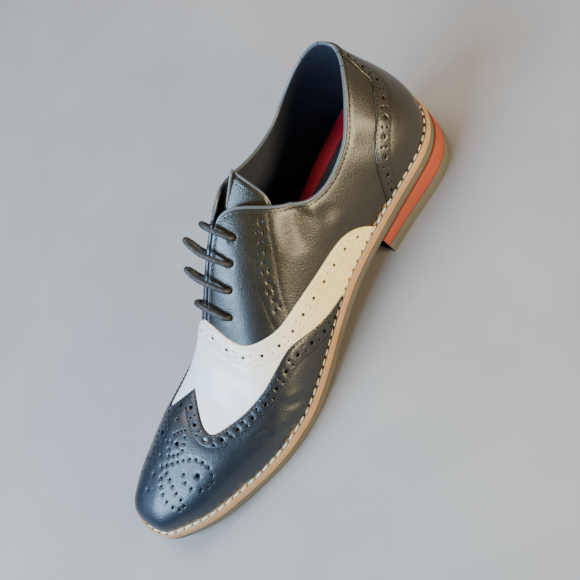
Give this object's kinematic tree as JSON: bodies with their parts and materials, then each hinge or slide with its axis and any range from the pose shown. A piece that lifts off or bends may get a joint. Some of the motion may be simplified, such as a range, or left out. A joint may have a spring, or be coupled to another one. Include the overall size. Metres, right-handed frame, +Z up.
{
  "type": "spectator shoe",
  "caption": "Low laced wingtip shoe in black and white leather with punched edges, a stitched welt and a stacked block heel",
  "frame": {"origin": "centre of the bounding box, on the floor", "axes": "toe along -Y, heel along +Y, the wearer's left (lateral) side along +X, up along +Z"},
  "size_m": [0.0888, 0.305, 0.1075],
  "materials": {
    "outsole": "matte",
    "midsole_welt": "satin",
    "heel_lift": "satin",
    "heel_top_piece": "matte",
    "insole": "matte",
    "upper": "satin",
    "wingtip": "satin",
    "vamp": "satin",
    "counter": "satin",
    "tongue": "satin",
    "lace": "matte"
  },
  "bodies": {
    "root": {"outsole": "outsole", "midsole_welt": "midsole_welt", "heel_lift": "heel_lift", "heel_top_piece": "heel_top_piece", "insole": "insole", "upper": "upper", "wingtip": "wingtip", "vamp": "vamp", "counter": "counter", "tongue": "tongue", "lace": "lace"}
  },
  "joints": []
}
